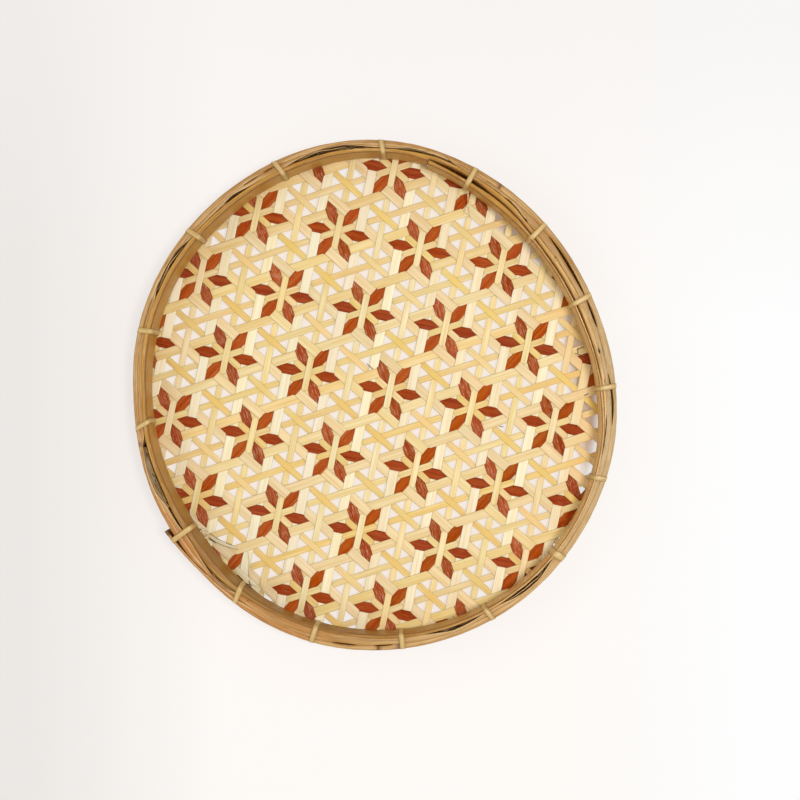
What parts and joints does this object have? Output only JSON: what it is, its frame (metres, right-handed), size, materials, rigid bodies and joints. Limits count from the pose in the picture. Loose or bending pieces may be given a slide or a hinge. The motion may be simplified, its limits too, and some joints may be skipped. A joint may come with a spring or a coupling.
{
  "type": "woven bamboo wall plate",
  "caption": "Round woven bamboo plate: a see-through mat of hexagons with red petals, gripped between two tied hoops, for a wall or as a shallow tray.",
  "frame": {"origin": "middle of the plate, on the plane that its lowest ties rest on", "axes": "+Z out of the open side of the plate, +Y towards the top of the plate as it is pictured, +X to the right"},
  "size_m": [0.2915, 0.3076, 0.0279],
  "materials": {
    "outer_hoop": "satin bamboo skin, orange tan",
    "inner_hoop": "satin bamboo, olive brown",
    "tie": "split bamboo, pale tan",
    "wide_strip_a": "split bamboo, honey cream",
    "wide_strip_b": "split bamboo, palest cream",
    "wide_strip_c": "split bamboo, cream",
    "thin_strip_net": "split bamboo, straw yellow",
    "red_strip_net": "split bamboo, dyed brick red"
  },
  "bodies": {
    "root": {"inner_hoop": "inner_hoop", "outer_hoop": "outer_hoop", "red_strip_net": "red_strip_net", "thin_strip_net": "thin_strip_net", "tie_01": "tie", "tie_02": "tie", "tie_03": "tie", "tie_04": "tie", "tie_05": "tie", "tie_06": "tie", "tie_07": "tie", "tie_08": "tie", "tie_09": "tie", "tie_10": "tie", "tie_11": "tie", "tie_12": "tie", "tie_13": "tie", "tie_14": "tie", "tie_15": "tie", "tie_16": "tie", "wide_strip_a_01": "wide_strip_a", "wide_strip_a_02": "wide_strip_a", "wide_strip_a_03": "wide_strip_a", "wide_strip_a_04": "wide_strip_a", "wide_strip_a_05": "wide_strip_a", "wide_strip_a_06": "wide_strip_a", "wide_strip_a_07": "wide_strip_a", "wide_strip_a_08": "wide_strip_a", "wide_strip_a_09": "wide_strip_a", "wide_strip_a_10": "wide_strip_a", "wide_strip_a_11": "wide_strip_a", "wide_strip_a_12": "wide_strip_a", "wide_strip_b_01": "wide_strip_b", "wide_strip_b_02": "wide_strip_b", "wide_strip_b_03": "wide_strip_b", "wide_strip_b_04": "wide_strip_b", "wide_strip_b_05": "wide_strip_b", "wide_strip_b_06": "wide_strip_b", "wide_strip_b_07": "wide_strip_b", "wide_strip_b_08": "wide_strip_b", "wide_strip_b_09": "wide_strip_b", "wide_strip_b_10": "wide_strip_b", "wide_strip_b_11": "wide_strip_b", "wide_strip_c_01": "wide_strip_c", "wide_strip_c_02": "wide_strip_c", "wide_strip_c_03": "wide_strip_c", "wide_strip_c_04": "wide_strip_c", "wide_strip_c_05": "wide_strip_c", "wide_strip_c_06": "wide_strip_c", "wide_strip_c_07": "wide_strip_c", "wide_strip_c_08": "wide_strip_c", "wide_strip_c_09": "wide_strip_c", "wide_strip_c_10": "wide_strip_c", "wide_strip_c_11": "wide_strip_c"}
  },
  "joints": []
}
